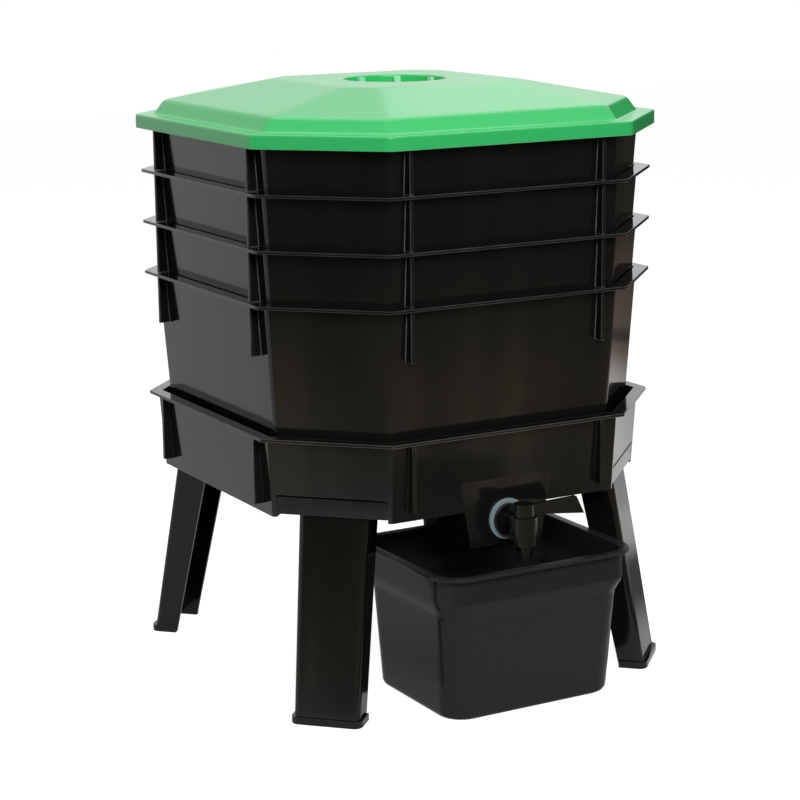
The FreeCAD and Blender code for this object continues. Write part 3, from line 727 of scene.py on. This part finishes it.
def make_trays():
    """Four alike trays: rim, tapered wall with ribs and slotted floor, each standing in the one below."""
    outline = soft_profile((
        body_row(190.0, 0.0, 0.0), body_row(196.92, 0.0, 2.4), body_row(208.8, 174.7, 1.6),
        body_row(221.0, 174.7, 0.9), body_row(221.0, 177.7, 1.1), body_row(206.6, 177.7, 1.2),
        body_row(194.72, 3.0, 3.0), body_row(188.0, 3.0, 0.0)))
    rings = [plan_ring(half, corner, level, TRAY_CORNER) for half, corner, level in outline]
    draft = link_new("tray_draft", lofted("tray_loft", rings))
    run_tree(draft, make_tray_tree(), {
        "Slots Each Way": 7, "Steps Out": 4.5, "Column Pitch": 0.050, "Line Pitch": 0.046,
        "Slot Long": 0.030, "Slot Wide": 0.006, "Floor Thick": 0.003, "Rib Offset": 0.105,
        "Rib Middle": 0.2085, "Rib Reach": 0.016, "Rib Thick": 0.004, "Rib Long": 0.0483,
        "Rib Foot": 0.1265, "Softness": 0.0011, "Material": MATERIALS["body_black"]})
    shape = finish_mesh(draft)
    for number in range(TRAYS):
        tray = shape.copy()
        tray.transform(Matrix.Translation((0.0, 0.0, TRAY_1_LEVEL + number * TRAY_PITCH)))
        name = f"tray_{number + 1}"
        place_piece(f"{name}_moulded", tray, "body_black", name, name)


def tub_ring(out, radius, level):
    """Rounded rectangle: the tub's foot spread outwards, with corners of the radius given."""
    points = []
    reach_x = TUB_HALF[0] + out - radius
    reach_y = TUB_HALF[1] + out - radius
    for turn, (side_x, side_y) in enumerate(((1, 1), (-1, 1), (-1, -1), (1, -1))):
        for step in range(TUB_CORNER_STEPS + 1):
            angle = QUARTER_TURN * (turn + step / TUB_CORNER_STEPS)
            points.append((TUB_MIDDLE[0] + side_x * reach_x + radius * math.cos(angle),
                           TUB_MIDDLE[1] + side_y * reach_y + radius * math.sin(angle), level))
    return points


def make_tub():
    """Drip tub: softly rounded foot, tapered body, ledge, upper tier and a thin turned-out lip."""
    outline = soft_profile((
        (-0.030, 0.010, 0.0, 0.0), (0.0, 0.024, 0.0, 0.0065), (0.006, 0.024, 0.102, 0.003),
        (0.011, 0.024, 0.115, 0.0035), (0.011, 0.024, 0.1425, 0.0016), (0.018, 0.031, 0.1425, 0.0010),
        (0.018, 0.031, 0.1455, 0.0012), (0.0084, 0.0214, 0.1455, 0.0014), (0.0084, 0.0214, 0.115, 0.003),
        (0.0034, 0.0214, 0.102, 0.003), (-0.0025, 0.0214, 0.0026, 0.005), (-0.030, 0.008, 0.0026, 0.0)))
    draft = link_new("tub_draft", lofted("tub_loft", [tub_ring(*row) for row in outline]))
    place_piece("drip_tub_moulded", finish_mesh(draft), "tub_black", "tub", "drip_tub")


# Studio.

def seen_directly(tree, rays):
    """One for the camera's own rays and for those that pass through something clear."""
    return calculated(tree, "MAXIMUM", rays["Is Camera Ray"], rays["Is Transmission Ray"])


def make_world():
    """Surroundings: white where seen or mirrored, and a low even light on everything."""
    world = bpy.data.worlds.new("studio")
    bpy.context.scene.world = world
    world.use_nodes = True
    tree = world.node_tree
    tree.nodes.clear()
    rays = add(tree, "ShaderNodeLightPath").outputs
    seen = calculated(tree, "MAXIMUM", seen_directly(tree, rays), rays["Is Glossy Ray"])
    strength = spread(tree, seen, (0.0, 1.0), (AMBIENT, 1.0))
    white = add(tree, "ShaderNodeBackground", {"Color": (1.0, 1.0, 1.0, 1.0), "Strength": strength})
    add(tree, "ShaderNodeOutputWorld", {"Surface": white.outputs["Background"]})


def make_floor():
    """White floor that keeps the object's shadow. In reflections its glow and colour vary over its length and
    width, painted reflections for the object's glossy sides."""
    half = FLOOR_HALF
    mesh = bpy.data.meshes.new("studio_floor")
    mesh.from_pydata([(-half, -half, 0), (half, -half, 0), (half, half, 0), (-half, half, 0)], [],
                     [(0, 1, 2, 3)])
    floor = link_new("studio_floor", mesh)
    material, tree = new_material("studio_floor")
    mesh.materials.append(material)
    rays = add(tree, "ShaderNodeLightPath").outputs
    spot = parts_of(tree, object_place(tree))
    far = spread(tree, spot["Y"], FLOOR_BACK_SPAN, (FLOOR_GLOW, FLOOR_GLOW_BACK))
    near = spread(tree, spot["Y"], FLOOR_FRONT_SPAN, (FLOOR_FRONT_SHARE, 1.0), "SMOOTHSTEP")
    mirrored = spread(tree, spot["X"], FLOOR_RIGHT_SPAN, (calculated(tree, "MULTIPLY", far, near), 0.0),
                      "SMOOTHSTEP")
    strip = spread(tree, spot["X"], FLOOR_STRIP_SPAN, (0.0, FLOOR_STRIP_GLOW), "SMOOTHSTEP")
    right = spread(tree, spot["X"], FLOOR_RIGHT_SPAN, (FLOOR_COLOUR, FLOOR_COLOUR_RIGHT), "SMOOTHSTEP")
    glossy = calculated(tree, "MULTIPLY", rays["Is Glossy Ray"], calculated(tree, "ADD", mirrored, strip))
    glow = calculated(tree, "MULTIPLY_ADD", seen_directly(tree, rays), FLOOR_GLOW + FLOOR_GLOW_SEEN, glossy)
    shader = add(tree, "ShaderNodeBsdfPrincipled", {
        "Roughness": 1.0, "Specular IOR Level": 0.0, "Emission Color": (1.0, 1.0, 1.0, 1.0),
        "Base Color": calculated(tree, "MULTIPLY", near, right), "Emission Strength": glow})
    add(tree, "ShaderNodeOutputMaterial", {"Surface": shader.outputs["BSDF"]})


def make_card(name, rows, colours):
    """Glowing card, seen only in reflections as a painted reflection, standing in an arc through its rows,
    streaked, with its colours from its foot upwards.
    """
    stands = [rows[0]]
    for before, after in zip(rows, rows[1:]):
        steps = round((after[0] - before[0]) / CARD_STEP)
        for step in range(1, steps + 1):
            stands.append(tuple(a + (b - a) * step / steps for a, b in zip(before, after)))
    points = []
    for angle, radius, high in stands:
        x = radius * math.cos(math.radians(angle))
        y = radius * math.sin(math.radians(angle))
        points += [(x, y, 0.0), (x, y, high)]
    mesh = bpy.data.meshes.new(name)
    mesh.from_pydata(points, [], [(low, low + 2, low + 3, low + 1) for low in range(0, len(points) - 2, 2)])
    material, tree = new_material(name)
    mesh.materials.append(material)
    place = object_place(tree)
    stretched = add(tree, "ShaderNodeMapping", {"Scale": STREAK_SCALE, "Vector": place})
    streaks = noise(tree, stretched.outputs["Vector"], 1.0, detail=3.0)
    ramp = add(tree, "ShaderNodeValToRGB", {"Fac": parts_of(tree, place)["Z"]})
    stops = ramp.color_ramp.elements
    while len(stops) < len(colours):
        stops.new(0.5)
    for stop, (at, colour) in zip(stops, colours):
        stop.position = at
        stop.color = (*colour, 1.0)
    glow = add(tree, "ShaderNodeEmission", {
        "Color": ramp.outputs["Color"], "Strength": spread(tree, streaks, STREAK_SPAN, STREAK_STRENGTH)})
    add(tree, "ShaderNodeOutputMaterial", {"Surface": glow.outputs["Emission"]})
    card = link_new(name, mesh)
    card.visible_camera = False
    card.visible_diffuse = False
    card.visible_transmission = False
    card.visible_shadow = False


def make_lamp(name, place, width, high, power):
    """Soft lamp aimed at the object."""
    data = bpy.data.lights.new(name, "AREA")
    data.shape = "RECTANGLE"
    data.size = width
    data.size_y = high
    data.energy = power
    lamp = link_new(name, data)
    direction = LAMP_TARGET - Vector(place)
    lamp.matrix_world = Matrix.Translation(place) @ direction.to_track_quat("-Z", "Y").to_matrix().to_4x4()


make_camera()
make_world()
make_floor()
for name, (rows, colours) in CARDS.items():
    make_card(name, rows, colours)
for name, settings in LAMPS.items():
    make_lamp(name, *settings)
make_trays()
make_lid()
moulded("collector_base", BODY_EDGE, "body_black", "base")
for corner in ("back_right", "back_left", "front_left", "front_right"):
    moulded(f"leg_{corner}", LEG_EDGE, "leg_black", "base", draw_in_head)
moulded("tap_body", TAP_EDGE, "tap_black", "base")
moulded("tap_lever", TAP_EDGE, "tap_black", "lever")
moulded("tap_lock_nut", TAP_EDGE, "tap_black", "base")
moulded("tap_outer_washer", WASHER_EDGE, "washer_pale", "base")
moulded("tap_inner_washer", WASHER_EDGE, "washer_pale", "base")
make_tub()

bpy.context.scene.view_settings.view_transform = "Standard"
